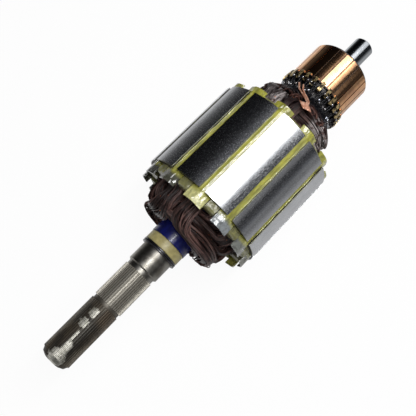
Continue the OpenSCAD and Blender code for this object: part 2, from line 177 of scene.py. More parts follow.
put(tree, board.outputs[0], tree.nodes["Material Output"].inputs[0])
table.data.materials.append(table_finish)

world = bpy.data.worlds.new("studio")
world.use_nodes = True
tree = world.node_tree
aim = add(tree, "ShaderNodeTexCoord", {}).outputs["Generated"]
aim = add(tree, "ShaderNodeSeparateXYZ", {0: aim}).outputs
behind = add(
    tree,
    "ShaderNodeMapRange",
    {"Value": aim["Y"], "From Min": 0.1, "From Max": 0.6, "To Min": 1.0, "To Max": 0.2},
).outputs[0]
below, above = (
    [(place, (level * 0.97, level, level * 1.08)) for place, level in bands]
    for bands in (room_bands_below, room_bands_above)
)
room = ramp(tree, aim["Z"], [(0.0, room_low), *below, (0.7, room_dim), *above])
seen = add(tree, "ShaderNodeLightPath", {}).outputs["Is Camera Ray"]
tone = add(tree, "ShaderNodeMix", {0: seen, 6: room, 7: (1, 1, 1, 1)}, data_type="RGBA")
put(tree, tone.outputs[2], tree.nodes["Background"].inputs[0])
put(tree, calc(tree, "MAXIMUM", behind, seen), tree.nodes["Background"].inputs[1])
bpy.context.scene.world = world
bpy.context.scene.view_settings.view_transform = "Standard"

for name, place, tilt, size, power in lamps:
    lamp = bpy.data.lights.new(name, "AREA")
    lamp.shape = "RECTANGLE"
    lamp.size, lamp.size_y = size
    lamp.energy = power
    lamp_object = bpy.data.objects.new(name, lamp)
    lamp_object.location = place
    lamp_object.rotation_euler = Euler([math.radians(angle) for angle in tilt])
    bpy.context.scene.collection.objects.link(lamp_object)


# ---- Shaft ----
# One turned steel bar, with two splines rolled into its drive end, a ground bearing seat
# next to them, and a polished journal at the commutator end.
# The free spline is blackened, and worn bright where its coupling rubbed.
groove_near, groove_far = -0.0290, -0.0307
rust_middle = -0.0296
fine_spline_start = -0.0113
spline_root, spline_crest = 0.0065, 0.00685
spline_teeth = 40
first_tooth = 0.17
journal_start = 0.1209
# Each patch's middle along the shaft, half its length, half its width, and how far it lies
# to one side of the top
worn_patches = [
    (-0.0572, 0.0042, 0.0040, -0.0003),
    (-0.0518, 0.0031, 0.0018, -0.0001),
    (-0.0466, 0.0036, 0.0005, -0.0014),
    (-0.0404, 0.0022, 0.0022, -0.0022),
    (-0.0351, 0.0023, 0.0020, -0.0021),
]


def scaled(tree, value, times, plus=0.0):
    """A pattern made stronger or weaker, with an amount added."""
    return calc(tree, "MULTIPLY_ADD", value, times, plus)


def both(tree, first, second):
    """Where two patterns are there together."""
    return calc(tree, "MULTIPLY", first, second)


def step(tree, value, low, high):
    """A soft step: 0 where the value is low, 1 where it is high; low may be above high."""
    limits = {"From Min": min(low, high), "From Max": max(low, high)}
    limits.update({"To Min": 0, "To Max": 1} if low < high else {"To Min": 1, "To Max": 0})
    return add(
        tree, "ShaderNodeMapRange", {"Value": value, **limits}, interpolation_type="SMOOTHSTEP"
    ).outputs[0]


def noise(tree, size, stretch=(1, 1, 1), detail=3, rough=0.55):
    """A cloudy pattern of that size in metres; a small stretch number draws it out that way."""
    place = {"Vector": place_on_piece(tree), "Scale": stretch}
    drawn_out = add(tree, "ShaderNodeMapping", place).outputs[0]
    return add(
        tree,
        "ShaderNodeTexNoise",
        {"Vector": drawn_out, "Scale": 1 / size, "Detail": detail, "Roughness": rough},
    ).outputs["Fac"]


def mix(tree, share, first, second, most=1.0, kind="MIX"):
    """A colour between two; at a full share the second covers the first as far as most."""
    share = both(tree, share, most) if most < 1 else share
    return add(
        tree, "ShaderNodeMix", {0: share, 6: first, 7: second}, data_type="RGBA", blend_type=kind
    ).outputs[2]


def relief(tree, *layers):
    """Lays bump on the shader, each layer a height pattern and its depth in metres."""
    below = None
    for pattern, depth in layers:
        made = add(tree, "ShaderNodeBump", {"Height": pattern, "Distance": depth, "Strength": 1.0})
        if below:
            put(tree, below, made.inputs["Normal"])
        below = made.outputs[0]
    surface(tree, {"Normal": below})


def about_shaft(tree):
    """Along the shaft, the distance from its axis, and the angle round it from the top."""
    along, across, up = add(tree, "ShaderNodeSeparateXYZ", {0: place_on_piece(tree)}).outputs
    radius = calc(tree, "SQRT", scaled(tree, across, across, both(tree, up, up)))
    angle = calc(tree, "ARCTAN2", calc(tree, "MULTIPLY", across, -1.0), up)
    return along, radius, angle


def dress(finish, *names):
    """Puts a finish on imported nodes."""
    for name in names:
        for seat in nodes[name].material_slots:
            seat.material = finish


shaft_finish, tree = new_finish("shaft_steel_worn")
along, radius, angle = about_shaft(tree)
blackened = step(tree, along, groove_near, groove_far - 0.0004)
splined = step(tree, along, fine_spline_start + 0.0002, fine_spline_start - 0.0002)
polished = step(tree, along, journal_start - 0.0004, journal_start)
patchy = noise(tree, 0.0011, detail=4)
brown = noise(tree, 0.006, stretch=(0.5, 1, 1))

# Ground steel on the seat and the journal, duller on the fine spline, rust at the groove
cloud = step(tree, noise(tree, 0.004), 0.35, 0.7)
steel = mix(tree, cloud, (0.28, 0.27, 0.245, 1), (0.15, 0.14, 0.12, 1))
from_rust = calc(tree, "ABSOLUTE", calc(tree, "SUBTRACT", along, rust_middle))
rusty = both(tree, step(tree, from_rust, 0.0032, 0.0006), step(tree, brown, 0.35, 0.6))
steel = mix(tree, rusty, steel, (0.13, 0.075, 0.04, 1))
rolled = mix(tree, patchy, (0.40, 0.38, 0.33, 1), (0.26, 0.24, 0.20, 1))
steel = mix(tree, splined, steel, rolled)
steel = mix(tree, polished, steel, (0.38, 0.40, 0.42, 1))

# Black skin on the free spline, paler on its crests, partly rubbed thin and partly a painted
# highlight, and scorched brown on one side
cloud = step(tree, brown, 0.4, 0.68)
black_skin = mix(tree, cloud, (0.030, 0.027, 0.024, 1), (0.105, 0.085, 0.060, 1))
# Paler crests: rubbed wear with a painted highlight along them
crest_wear_and_highlight = step(tree, noise(tree, 0.004, stretch=(0.3, 1, 1)), 0.36, 0.62)
crest_wear_and_highlight = both(tree, crest_wear_and_highlight, step(tree, radius, spline_crest - 0.00014, spline_crest - 0.00002))
black_skin = mix(tree, crest_wear_and_highlight, black_skin, (0.22, 0.21, 0.18, 1), most=0.45)
scorched = both(tree, step(tree, along, -0.0400, -0.0350), step(tree, angle, 0.30, 0.55))
scorched = both(tree, scorched, step(tree, brown, 0.30, 0.52))
black_skin = mix(tree, scorched, black_skin, (0.20, 0.155, 0.11, 1), most=0.8)
skin = mix(tree, blackened, steel, black_skin)
# Darker down in the roots of both splines
root_darkening = both(tree, splined, step(tree, radius, spline_crest, spline_root + 0.0001))
skin = mix(tree, root_darkening, skin, (0.045, 0.038, 0.028, 1), most=0.7)

# Bright patches where the coupling sat, each with whole teeth in it and a ragged edge
worn = 0.0
for middle, half_length, half_width, aside in worn_patches:
    lengthways = calc(tree, "DIVIDE", calc(tree, "SUBTRACT", along, middle), half_length)
    tooth = calc(tree, "SUBTRACT", angle, first_tooth)
    tooth = calc(tree, "SNAP", tooth, 2 * math.pi / spline_teeth)
    sideways = calc(tree, "DIVIDE", scaled(tree, tooth, spline_crest, -aside), half_width)
    away = scaled(tree, lengthways, lengthways, both(tree, sideways, sideways))
    patch = step(tree, scaled(tree, patchy, 1.3, away), 1.75, 1.35)
    worn = calc(tree, "MAXIMUM", worn, patch)
fretting = step(tree, noise(tree, 0.0009, stretch=(1, 0.3, 1)), 0.42, 0.6)
fretted = mix(tree, fretting, (0.60, 0.585, 0.53, 1), (0.38, 0.37, 0.32, 1))
skin = mix(tree, both(tree, worn, blackened), skin, fretted)

matt = scaled(tree, blackened, 0.10, 0.29)
matt = scaled(tree, splined, 0.06, matt)
matt = scaled(tree, polished, -0.20, matt)
matt = scaled(tree, patchy, 0.10, matt)
metal = scaled(tree, calc(tree, "SUBTRACT", splined, worn, clamp=True), -0.4, 1.0)
surface(tree, {"Base Color": skin, "Metallic": metal, "Roughness": matt})
turned = noise(tree, 0.00035, stretch=(1, 0.04, 0.04), detail=2)
relief(tree, (turned, 0.000004), (patchy, 0.000008))
dress(shaft_finish, "shaft")


# ---- Stop ring ----
# A hardened and blackened steel ring with one fine groove in its rim.
# The drive-end bearing is pressed home against it.
ring_finish, tree = new_finish("stop_ring_black")
smear = noise(tree, 0.0012, stretch=(1, 0.15, 0.15))
smeared = step(tree, smear, 0.4, 0.75)
black = mix(tree, smeared, (0.018, 0.018, 0.02, 1), (0.10, 0.10, 0.11, 1))
matt = scaled(tree, smear, 0.25, 0.14)
surface(tree, {"Base Color": black, "Metallic": 0.6, "Roughness": matt})
relief(tree, (noise(tree, 0.0003, stretch=(1, 0.05, 0.05)), 0.00001))
dress(ring_finish, "stop_ring")


# ---- Spacer collar ----
# Moulded tan plastic, held between the stop ring and the sleeve.
# Thin lines of grime run round it.
collar_finish, tree = new_finish("collar_tan")
mottle = noise(tree, 0.0016, detail=5)
mottled = step(tree, mottle, 0.3, 0.7)
tan = mix(tree, mottled, (0.46, 0.40, 0.17, 1), (0.34, 0.29, 0.12, 1))
grime = step(tree, noise(tree, 0.0005, stretch=(1, 0.1, 0.1), detail=2), 0.62, 0.8)
tan = mix(tree, grime, tan, (0.12, 0.10, 0.05, 1), most=0.5)
surface(tree, {"Base Color": tan, "Roughness": scaled(tree, mottle, 0.3, 0.22)})
relief(tree, (noise(tree, 0.0004), 0.00002))
dress(collar_finish, "spacer_collar")


# ---- Shaft sleeve ----
# Blue insulating tube pressed on the shaft; it runs from the collar through the core.
# It is glossy and a little uneven, with specks of dust on it.
sleeve_finish, tree = new_finish("sleeve_blue")
streak = noise(tree, 0.0022, stretch=(0.5, 1, 1), detail=4)
streaked = step(tree, streak, 0.35, 0.7)
blue = mix(tree, streaked, (0.010, 0.013, 0.125, 1), (0.006, 0.008, 0.06, 1))
dust = step(tree, noise(tree, 0.0003, detail=2), 0.7, 0.8)
blue = mix(tree, dust, blue, (0.25, 0.25, 0.35, 1), most=0.35)
surface(tree, {"Base Color": blue, "Roughness": scaled(tree, streak, 0.15, 0.14)})
relief(tree, (noise(tree, 0.0025, stretch=(1, 0.6, 0.6)), 0.00012))
dress(sleeve_finish, "shaft_sleeve")


# ---- Lamination stack ----
# About ninety stamped steel sheets pressed into one block, its rim ground round.
# The edges of the sheets show as faint lines across each tooth.
core_rim = 0.03
core_finish, tree = new_finish("core_steel_ground")
_, radius, _ = about_shaft(tree)
rim = step(tree, radius, core_rim - 0.0004, core_rim - 0.0002)
sheet_lines = noise(tree, 0.0009, stretch=(1, 0.01, 0.01), detail=3)
cloud = noise(tree, 0.005, detail=5, rough=0.65)
clouded = step(tree, cloud, 0.3, 0.75)
fleck = step(tree, noise(tree, 0.0003, stretch=(0.8, 1, 1), detail=2), 0.36, 0.66)
ground = mix(tree, clouded, (0.64, 0.65, 0.67, 1), (0.54, 0.55, 0.57, 1))
ground = mix(tree, fleck, ground, (0.34, 0.35, 0.38, 1), most=0.25)
inside = mix(tree, cloud, (0.10, 0.095, 0.085, 1), (0.05, 0.047, 0.04, 1))
steel = mix(tree, rim, inside, ground)
matt = scaled(tree, fleck, 0.15, scaled(tree, rim, -0.35, 0.48))
surface(tree, {"Base Color": steel, "Metallic": 1.0, "Roughness": matt})
relief(tree, (sheet_lines, 0.000008), (fleck, 0.000004))
dress(core_finish, "lamination_stack")


# ---- End plates and slot liners ----
# Moulded insulating spiders of dull olive plastic, one at each end of the core, with a
# blunt finger over every tooth. Folded sheet lines the slots between them.
finger_root, dark_inside = 0.0262, 0.0232
plate_finish, tree = new_finish("plate_olive")
_, radius, _ = about_shaft(tree)
mottle = noise(tree, 0.0018, detail=5, rough=0.6)
mottled = step(tree, mottle, 0.3, 0.7)
olive = mix(tree, mottled, (0.26, 0.25, 0.10, 1), (0.15, 0.145, 0.065, 1))
# Darker towards the shaft, under the winding: painted shade
painted_shade_inward = step(tree, radius, finger_root, dark_inside)
olive = mix(tree, painted_shade_inward, olive, (0.035, 0.03, 0.02, 1), most=0.75)
scuff = step(tree, noise(tree, 0.0005, stretch=(0.3, 1, 1), detail=3), 0.64, 0.78)
olive = mix(tree, scuff, olive, (0.5, 0.5, 0.38, 1), most=0.4)
surface(tree, {"Base Color": olive, "Roughness": scaled(tree, mottle, 0.35, 0.12), "IOR": 1.7})
relief(tree, (noise(tree, 0.0028, detail=1), 0.0009), (mottle, 0.00008))
dress(plate_finish, "drive_end_plate", "commutator_end_plate")

liner_finish, tree = new_finish("liner_sheet_yellow")
fibre = noise(tree, 0.0006, stretch=(0.2, 1, 1), detail=4)
yellow = mix(tree, fibre, (0.36, 0.34, 0.09, 1), (0.22, 0.20, 0.05, 1))
surface(tree, {"Base Color": yellow, "Roughness": scaled(tree, fibre, 0.3, 0.3)})
relief(tree, (fibre, 0.00003))
dress(liner_finish, "slot_liners")


# ---- Slot wedges ----
# Folded strips of yellow-green film slid along under the tooth lips. Each stands out over
# the winding at both ends. The creased flaps at the drive end are cloudy with varnish, and
# their tints follow each other round the core: the film's own colours with painted light and
# shade, the top flap paler as a painted highlight and others darker as painted shade.
slots = 12
core_near, core_far = 0.0263, 0.0723
facets_per_metre = 320.0
# From the top flap round by way of the near side, each its film's colour with painted light and
# shade
flap_tints_lit_and_shaded = [
    (0.70, 0.68, 0.30),
    (0.25, 0.27, 0.28),
    (0.20, 0.21, 0.19),
    (0.10, 0.10, 0.07),
    (0.45, 0.43, 0.09),
    (0.20, 0.20, 0.17),
    (0.12, 0.12, 0.08),
    (0.40, 0.38, 0.07),
    (0.20, 0.20, 0.19),
    (0.08, 0.08, 0.06),
    (0.055, 0.055, 0.048),
    (0.10, 0.10, 0.075),
]
wedge_finish, tree = new_finish("wedge_film")
along, _, angle = about_shaft(tree)
drip = noise(tree, 0.0022, stretch=(0.35, 1, 1), detail=4)
dripped = step(tree, drip, 0.32, 0.66)
film = mix(tree, dripped, (0.50, 0.48, 0.075, 1), (0.24, 0.235, 0.045, 1))

# Each flap's tint by its angle round the core, painted light and shade included
which = scaled(tree, angle, 0.5 / math.pi, 0.5 + 0.5 / slots)
stops = [(j / slots, flap_tints_lit_and_shaded[(j + slots // 2) % slots]) for j in range(slots)]
flap_tint_lit_and_shaded = ramp(tree, calc(tree, "FRACT", which), stops, change="CONSTANT")
cloudy = step(tree, noise(tree, 0.0016, detail=4), 0.38, 0.62)
flap = mix(tree, cloudy, flap_tint_lit_and_shaded, (0.10, 0.10, 0.07, 1), most=0.7, kind="MULTIPLY")
flap = mix(tree, cloudy, flap_tint_lit_and_shaded, flap, most=0.55)
flap = mix(tree, step(tree, along, core_near - 0.0027, core_near - 0.0007), flap, film, most=0.75)
film = mix(tree, step(tree, along, core_near, core_near - 0.0006), film, flap)
stain = step(tree, noise(tree, 0.0013, detail=5), 0.66, 0.76)
film = mix(tree, stain, film, (0.07, 0.05, 0.015, 1), most=0.6)
surface(
    tree,
    {
        "Base Color": film,
        "Roughness": scaled(tree, drip, 0.2, 0.06),
        "IOR": 1.9,
        "Coat Weight": 0.8,
        "Coat Roughness": 0.06,
    },
)

facets = add(
    tree,
    "ShaderNodeTexVoronoi",
    {"Vector": place_on_piece(tree), "Scale": facets_per_metre},
    distance="CHEBYCHEV",
).outputs["Distance"]
out_near = step(tree, along, core_near, core_near - 0.0008)
out_far = step(tree, along, core_far, core_far + 0.0008)
standing = scaled(tree, calc(tree, "MAXIMUM", out_near, out_far), 0.92, 0.08)
relief(tree, (both(tree, facets, standing), 0.0009), (noise(tree, 0.0009, detail=2), 0.00010))
dress(wedge_finish, *[f"slot_wedge_{k + 1:02d}" for k in range(slots)])


# ---- Coils ----
# Twelve ropes of enamelled copper wire, each through two slots five apart and wound in
# pairs, so that every pair crosses the ends of the core over the pairs before it.
# The wires wander and cross, and only the outer ones show. Sizes here are millimetres.
coils = 12
layers = 6
first_slot = 7
slot_turn = math.radians(30)
half_throw = math.radians(75)
tooth_half_w = 3.21
sleeve_r = 8.9
sleeve_gap = 0.3
overhang = 15.8
plate_t = 1.0
first_gap = 0.35
top_layers = 2
top_extra = 0.6
# A coil's sides lie low or high in their slots, and its risers stand beside the fingers
low_r, high_r = 18.6, 23.3
low_h, high_h = 4.9, 3.9
low_riser_r, high_riser_r = 18.3, 20.9
low_bend, most_bend = 1.9, 6.0
riser_w = 7.6
settling = 3
# By layer: how wide the crossing spreads, and how far it climbs over at the drive end
crossing_widths = (8.4, 8.4, 8.4, 8.6, 10.0, 10.6)
drive_end_climbs = (0.6, 0.8, 1.0, 1.2, 1.9, 0.0)
# Thin wires outside, and a few thick dark ones inside as painted shade that close the view through
# the rope
wire_d = 0.46
outer_wires, inner_wires = 54, 4
inner_depth, inner_share = 0.55, 0.3
# The fan coil's wires are paler all over, a painted highlight
painted_highlight_coil = 5


def smooth(t):
    """A share from 0 to 1 that starts and ends gently."""
    t = min(max(t, 0.0), 1.0)
    return t * t * (3 - 2 * t)


def blend(a, b, t):
    """A number that share of the way from one to the other."""
    return a + (b - a) * t


def slot_width(r):
    """The room between two teeth at that radius."""
    return 2 * (r * math.tan(slot_turn / 2) - tooth_half_w / math.cos(slot_turn / 2))


def half_turn(high, layer, climb):
    """Sections from the crossing beside the shaft, over its bend and down to the slot.

    A section is its place (sideways, towards the crossing, out from the core), its turn
    from lying across the end to standing along the shaft, its lean, width, height and taper.
    """
    crossing_steps, bend_steps, riser_steps = 9, 7, 4
    above = max(0, layer - layers + top_layers)
    # Each rope is a little thicker than its pitch, as it beds into the one below
    pitch = (overhang - plate_t - first_gap) / (layers + top_layers * top_extra)
    riser_t = pitch * 1.15
    thick = pitch * (1 + top_extra) if layer >= layers - top_layers else pitch * 1.1
    width = crossing_widths[layer]
    out = plate_t + first_gap + (layer + above * top_extra) * pitch + thick / 2
    slot_r = high_r if high else low_r
    riser_r = blend(slot_r, high_riser_r, min(1, 0.5 * layer)) if high else low_riser_r
    full_bend = min(most_bend, 1.4 * layer + 1) if high else low_bend
    bend = min(full_bend, out - plate_t - 0.2)
    riser_p, riser_q = riser_r * math.sin(half_throw), riser_r * math.cos(half_throw)
    slot_w, slot_h = slot_width(slot_r), high_h if high else low_h
    taper = math.tan(slot_turn / 2) * slot_h / slot_w
    reach = sleeve_r + sleeve_gap + width / 2 - riser_q
    sections = []

    def crossing(p):
        q = riser_q + reach * (1 + math.cos(math.pi * p / riser_p)) / 2
        lean = math.atan(-reach * math.pi / 2 / riser_p * math.sin(math.pi * p / riser_p))
        return q, lean

    for i in range(crossing_steps):
        t = i / crossing_steps
        p = (riser_p - bend) * i / crossing_steps
        q, lean = crossing(p)
        sections.append((p, q, out + climb * smooth(t), 0.0, lean, width, thick, 0.0))
    out += climb
    for i in range(bend_steps + 1):
        t = i / bend_steps
        a = math.pi / 2 * t
        p = riser_p - bend + bend * math.sin(a)
        x = out - bend + bend * math.cos(a)
        q, lean = crossing(p)
        lean = blend(lean, slot_turn / 2, t)
        f = smooth((x - plate_t + abs(riser_p - p)) / settling)
        w = blend(slot_w, blend(width, riser_w, t), f)
        h = blend(slot_h, blend(thick, riser_t, t), f)
        sections.append((p, q, x, a, lean, w, h, taper * (1 - f)))
    for i in range(1, riser_steps + 1):
        x = blend(out - bend, plate_t, i / riser_steps)
        f = 0 if i == riser_steps else smooth((x - plate_t) / settling)
        r = blend(slot_r, riser_r, f)
        p, q = r * math.sin(half_throw), r * math.cos(half_throw)
        w, h = blend(slot_w, riser_w, f), blend(slot_h, riser_t, f)
        sections.append((p, q, x, math.pi / 2, slot_turn / 2, w, h, taper * (1 - f)))
    return sections


def coil_path(k):
    """Every section of a closed coil, with the side and the end that it belongs to."""
    layer = k % layers
    ends = []
    for face, facing in ((core_near * 1000, -1), (core_far * 1000, 1)):
        climb = drive_end_climbs[layer] if facing < 0 else 0.0
        start = half_turn(layer == layers - 1, layer, climb)
        finish = half_turn(layer > 0, layer, 0.0)
        end = [(section, -1, face, facing) for section in reversed(start[1:])]
        end += [(section, 1, face, facing) for section in finish]
        ends.append(end)
    drive_end, commutator_end = ends
    return drive_end + commutator_end[::-1]


def wire_point(section, side, face, facing, around, depth):
    """Where a wire passes one section: its angle round the rope and its depth from 0 to 1."""
    p, q, out, turn, lean, width, height, taper = section
    # A circle pushed out towards a square, as a rope is that is pressed into a slot
    c, s = (math.copysign(abs(v) ** 0.75, v) for v in (math.cos(around), math.sin(around)))
    u = c * depth * (width / 2 - wire_d / 2) * (1 + taper * s)
    v = s * depth * (height / 2 - wire_d / 2)
    return Vector(
        (
            face + facing * (out + v * math.cos(turn)),
            side * (p - u * math.sin(lean) + v * math.sin(turn) * math.cos(lean)),
            q + u * math.cos(lean) + v * math.sin(turn) * math.sin(lean),
        )
    )


def wires_to_piece(name, runs, finish):
    """Drawn wires: each run is its points, their radii, whether it closes, and its shade."""
    data = bpy.data.curves.new(name, "CURVE")
    data.dimensions = "3D"
    data.bevel_depth = 1.0
    data.bevel_resolution = 1
    ring_corners = 2 * (data.bevel_resolution + 2)
    data.use_fill_caps = True
    shades = []
    for points, radii, closed, shade in runs:
        spline = data.splines.new("POLY")
        spline.points.add(len(points) - 1)
        for station, point, radius in zip(spline.points, points, radii):
            station.co = (*point, 1)
            station.radius = radius
        spline.use_cyclic_u = closed
        spline.use_smooth = True
        # An open wire has one more ring in the cap at each end
        rings = len(points) if closed else len(points) + 2
        shades += [shade] * (ring_corners * rings)
    drawn = bpy.data.objects.new(name + "_drawn", data)
    bpy.context.scene.collection.objects.link(drawn)
    settled = drawn.evaluated_get(bpy.context.evaluated_depsgraph_get())
    mesh = bpy.data.meshes.new_from_object(settled)
    bpy.data.objects.remove(drawn)
    bpy.data.curves.remove(data)
    mesh.name = name
    mesh.materials.clear()
    mesh.materials.append(finish)
    mesh.attributes.new("shade", "FLOAT", "POINT").data.foreach_set("value", shades)
    piece = bpy.data.objects.new(name, mesh)
    bpy.context.scene.collection.objects.link(piece)
    return piece


def wire_shade(tree):
    """How pale each drawn wire is, from 0 to 1."""
    return add(tree, "ShaderNodeAttribute", {}, attribute_name="shade").outputs["Fac"]


# Brown enamel, darker in patches; black at the commutator end over one half round the shaft, pale
# in bands beside it, partly a varnish haze and partly a painted sheen, and nicked to bare copper
# in a few spots
wire_finish, tree = new_finish("wire_enamel_brown")
shade = wire_shade(tree)
along, _, angle = about_shaft(tree)
patch = noise(tree, 0.004, detail=4)
enamel = mix(tree, shade, (0.011, 0.005, 0.0045, 1), (0.200, 0.110, 0.094, 1))
enamel = mix(tree, step(tree, patch, 0.42, 0.7), enamel, (0.010, 0.005, 0.005, 1), most=0.6)
# Black at the commutator end over one half round the shaft
dark_end = both(tree, step(tree, along, 0.0780, 0.0825), step(tree, angle, 0.25, 0.05))
enamel = mix(tree, dark_end, enamel, (0.013, 0.007, 0.007, 1), most=0.9)
# Pale bands beside the dark end: partly a varnish haze, partly a painted sheen
haze_and_sheen = calc(tree, "MAXIMUM", step(tree, angle, 0.45, 0.65), step(tree, angle, -0.22, -0.38))
haze_and_sheen = both(tree, step(tree, along, 0.0750, 0.0770), haze_and_sheen)
haze_and_sheen = both(tree, haze_and_sheen, step(tree, noise(tree, 0.003), 0.4, 0.55))
haze_and_sheen_tone = mix(tree, step(tree, shade, 0.0, 0.4), (0.12, 0.10, 0.10, 1), (0.58, 0.52, 0.51, 1))
enamel = mix(tree, haze_and_sheen, enamel, haze_and_sheen_tone, most=0.8)
nicked = step(tree, noise(tree, 0.0011, detail=2), 0.735, 0.765)
enamel = mix(tree, nicked, enamel, (0.62, 0.17, 0.05, 1))
lowest = calc(tree, "MAXIMUM", step(tree, angle, -0.9, -1.15), step(tree, angle, 1.7, 2.0))
surface(
    tree,
    {
        "Base Color": enamel,
        "Roughness": scaled(tree, lowest, 0.4, scaled(tree, patch, 0.2, 0.30)),
        "Specular IOR Level": scaled(tree, lowest, -0.28, 0.3),
    },
)
relief(tree, (noise(tree, 0.0004), 0.00002))

draw = random.Random(11)
for k in range(coils):
    path = coil_path(k)
    turn = Matrix.Rotation((k + first_slot) * slot_turn + half_throw, 4, "X")
    turn = turn @ Matrix.Scale(-1, 4, (0, 1, 0))
    runs = []
    for i in range(outer_wires + inner_wires):
        outer = i < outer_wires
        base = 2 * math.pi * (i / outer_wires if outer else (i + 0.5) / inner_wires)
        wander = [
            (n, draw.uniform(0.05, 0.36) / n**0.5, draw.uniform(0, 2 * math.pi)) for n in (2, 4, 7)
        ]
        lift = [(n, draw.uniform(0.02, 0.07), draw.uniform(0, 2 * math.pi)) for n in (3, 8)]
        points, radii = [], []
        for j, (section, side, face, facing) in enumerate(path):
            t = 2 * math.pi * j / len(path)
            around, depth, radius = base, inner_depth, section[6] * inner_share
            if outer:
                around += sum(a * math.sin(n * t + b) for n, a, b in wander)
                depth = 1 + sum(a * math.sin(n * t + b) for n, a, b in lift)
                radius = wire_d / 2
            points.append(turn @ wire_point(section, side, face, facing, around, depth) / 1000)
            radii.append(radius / 1000)
        # The fan coil's wires are paler as a painted highlight; the rest differ at random
        pale = draw.uniform(0.15, 1) ** 1.6 if k == painted_highlight_coil else draw.uniform(0, 1) ** 2.4
        # Inner wires take the darkest tone: painted shade inside the rope
        runs.append((points, radii, True, pale if outer else 0.0))
    coil = wires_to_piece(f"coil_wires_{k + 1:02d}", runs, wire_finish)
    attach(coil, "root")
    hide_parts(f"coil_{k + 1:02d}")


# ---- Slot varnish ----
# Varnish trickled into the slots has crept up both sides of every wedge and set there
# in thin glossy beads between the film and the tooth lips.
trickle_near, trickle_far = 26.5, 72.1
trickle_aside, trickle_r = 1.33, 28.98
trickle_steps = 44
# Each bead thins out over a twelfth of its length at both ends
thinning = 12
trickle_finish, tree = new_finish("varnish_amber")
cloudy = noise(tree, 0.002, stretch=(0.3, 1, 1), detail=3)
surface(
    tree,
    {
        "Base Color": mix(tree, cloudy, (0.60, 0.60, 0.20, 1), (0.34, 0.33, 0.06, 1)),
        "Roughness": scaled(tree, cloudy, 0.15, 0.05),
        "IOR": 2.0,
        "Coat Weight": 1.0,
        "Coat Roughness": 0.04,
    },
)
relief(tree, (noise(tree, 0.0012, detail=2), 0.0001))

runs = []
for k in range(slots):
    turn = Matrix.Rotation(k * slot_turn, 3, "X")
    for side in (-1, 1):
        begin = trickle_near + draw.uniform(0, 5)
        end = trickle_far - draw.uniform(0, 6)
        phase = [draw.uniform(0, 6.28) for _ in range(4)]
        points, radii = [], []
        for j in range(trickle_steps + 1):
            t = j / trickle_steps
            x = blend(begin, end, t)
            y = side * (trickle_aside + 0.07 * math.sin(0.9 * x + phase[0]))
            z = trickle_r + 0.08 * math.sin(0.5 * x + phase[1])
            points.append(turn @ Vector((x, y, z)) / 1000)
            swell = 0.5 + 0.5 * math.sin(0.33 * x + phase[2]) * math.sin(0.8 * x + phase[3])
            from_end = min(1, t * thinning, (1 - t) * thinning)
            ends = math.sin(math.pi * from_end / 2 + 0.01)
            radii.append((0.10 + 0.2 * swell) * ends / 1000)
        runs.append((points, radii, False, 0.0))
trickle = wires_to_piece("slot_varnish", runs, trickle_finish)
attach(trickle, "root")


# ---- Lead wrap and coil leads ----
# The ends of the coils are bound down beside the sleeve and run on to the hooks, a loop
# round each, all soaked in black varnish that has set in bright beads.
wrap_near, wrap_far = 88.2, 92.6
binding_turns, binding_steps = 5, 48
binding_r, binding_wire_r = 13.3, 0.5
leads = 48
lead_steps = 14
lead_x, lead_run = 93.8, 9.2
lead_low_r, lead_high_r = 13.9, 20.2
lead_crest = 0.85
lead_side = 1.45


def round_shaft(x, r, a):
    """A point in metres, from millimetres along the shaft and out from it, and an angle."""
    return Vector((x, r * math.cos(a), r * math.sin(a))) / 1000


lead_finish, tree = new_finish("lead_enamel_varnished")
along, _, _ = about_shaft(tree)
dark_end = step(tree, scaled(tree, noise(tree, 0.003), 0.006, along), 0.0885, 0.0935)
brown = mix(tree, wire_shade(tree), (0.020, 0.010, 0.009, 1), (0.13, 0.055, 0.040, 1))
surface(
    tree,
    {
        "Base Color": mix(tree, dark_end, brown, (0.008, 0.008, 0.010, 1)),
        "Metallic": 0.2,
        "Roughness": scaled(tree, dark_end, -0.22, 0.34),
        "Specular IOR Level": 0.22,
    },
)
relief(tree, (noise(tree, 0.0009), 0.00012))
dress(lead_finish, "coil_leads")

runs = []
for i in range(binding_turns):
    points = []
    for j in range(binding_steps):
        a = 2 * math.pi * j / binding_steps
        r = binding_r + 0.12 * math.sin(3 * a + i) + 0.08 * math.sin(7 * a + 2 * i)
        x = blend(wrap_near + 0.4, wrap_far - 0.4, i / (binding_turns - 1))
        x += 0.12 * math.sin(2 * a + 1.7 * i)
        points.append(round_shaft(x, r, a))
    runs.append((points, [binding_wire_r / 1000] * len(points), True, draw.uniform(0, 0.4)))
for i in range(2 * leads):
    start = math.pi * (i + 0.5) / leads + draw.uniform(-0.03, 0.03)
    sweep = (1 if i % 2 else -1) * draw.uniform(0.15, 0.6)
    # The leads reach the winding on one side only and end in the wrap on the other
    reach = blend(0.42, 1.0, smooth((math.cos(start - lead_side) + 0.25) / 0.6))
    reach *= draw.uniform(0.75, 1.0)
    under = draw.uniform(0.0, 0.9)
    points, radii = [], []
    for j in range(lead_steps + 1):
        u = j / lead_steps * reach
        a = start + sweep * smooth(u)
        r = blend(lead_low_r, lead_high_r, smooth(u / lead_crest))
        r -= under * u + 6 * max(0.0, u - lead_crest)
        points.append(round_shaft(lead_x - lead_run * u, r, a))
        radii.append((0.36 + 0.14 * max(0.0, math.sin(9 * u + i)) * (1 - u)) / 1000)
    runs.append((points, radii, False, draw.uniform(0, 1) ** 2))
wrap = wires_to_piece("lead_wrap_wires", runs, lead_finish)
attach(wrap, "root")
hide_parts("lead_wrap")

